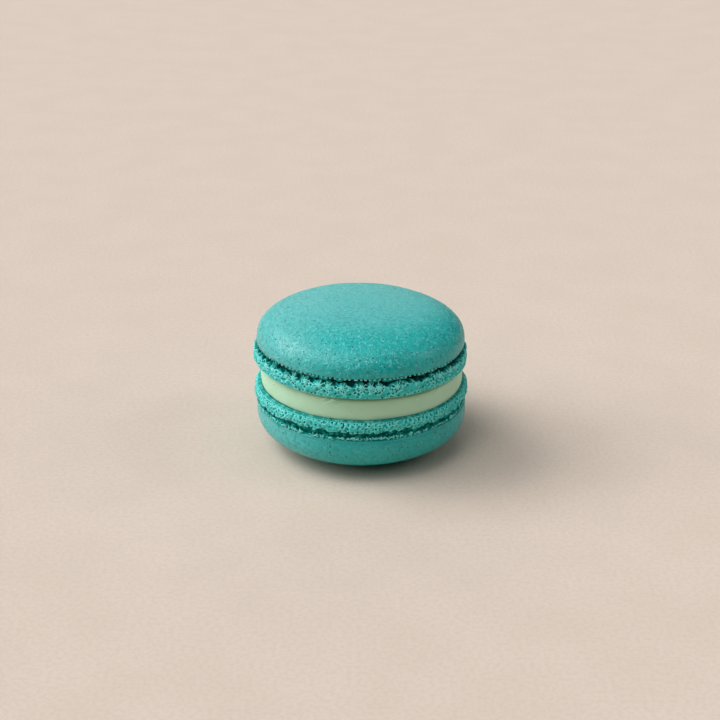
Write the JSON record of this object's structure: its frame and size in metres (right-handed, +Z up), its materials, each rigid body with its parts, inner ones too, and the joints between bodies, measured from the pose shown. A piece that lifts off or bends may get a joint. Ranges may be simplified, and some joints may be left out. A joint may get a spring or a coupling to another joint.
{
  "type": "french macaron",
  "caption": "Round sandwich biscuit of almond meringue: two smooth domed shells with ruffled, lacy feet, and a smooth pale filling showing between them.",
  "frame": {"origin": "centre of the footprint, on the surface that the macaron rests on", "axes": "+Z up along the macaron's axis, through both shells; -Y towards the viewer of the picture and +X to the viewer's right"},
  "size_m": [0.0482, 0.048, 0.0327],
  "materials": {
    "shell": "smooth dry meringue crust with a faint satin sheen, matte and lacy at the feet; matte plastic stands for it",
    "filling": "smooth pale mint cream with a soft satin gloss; matte plastic stands for it"
  },
  "bodies": {
    "root": {"shell_top": "shell", "filling": "filling", "shell_bottom": "shell"}
  },
  "joints": []
}
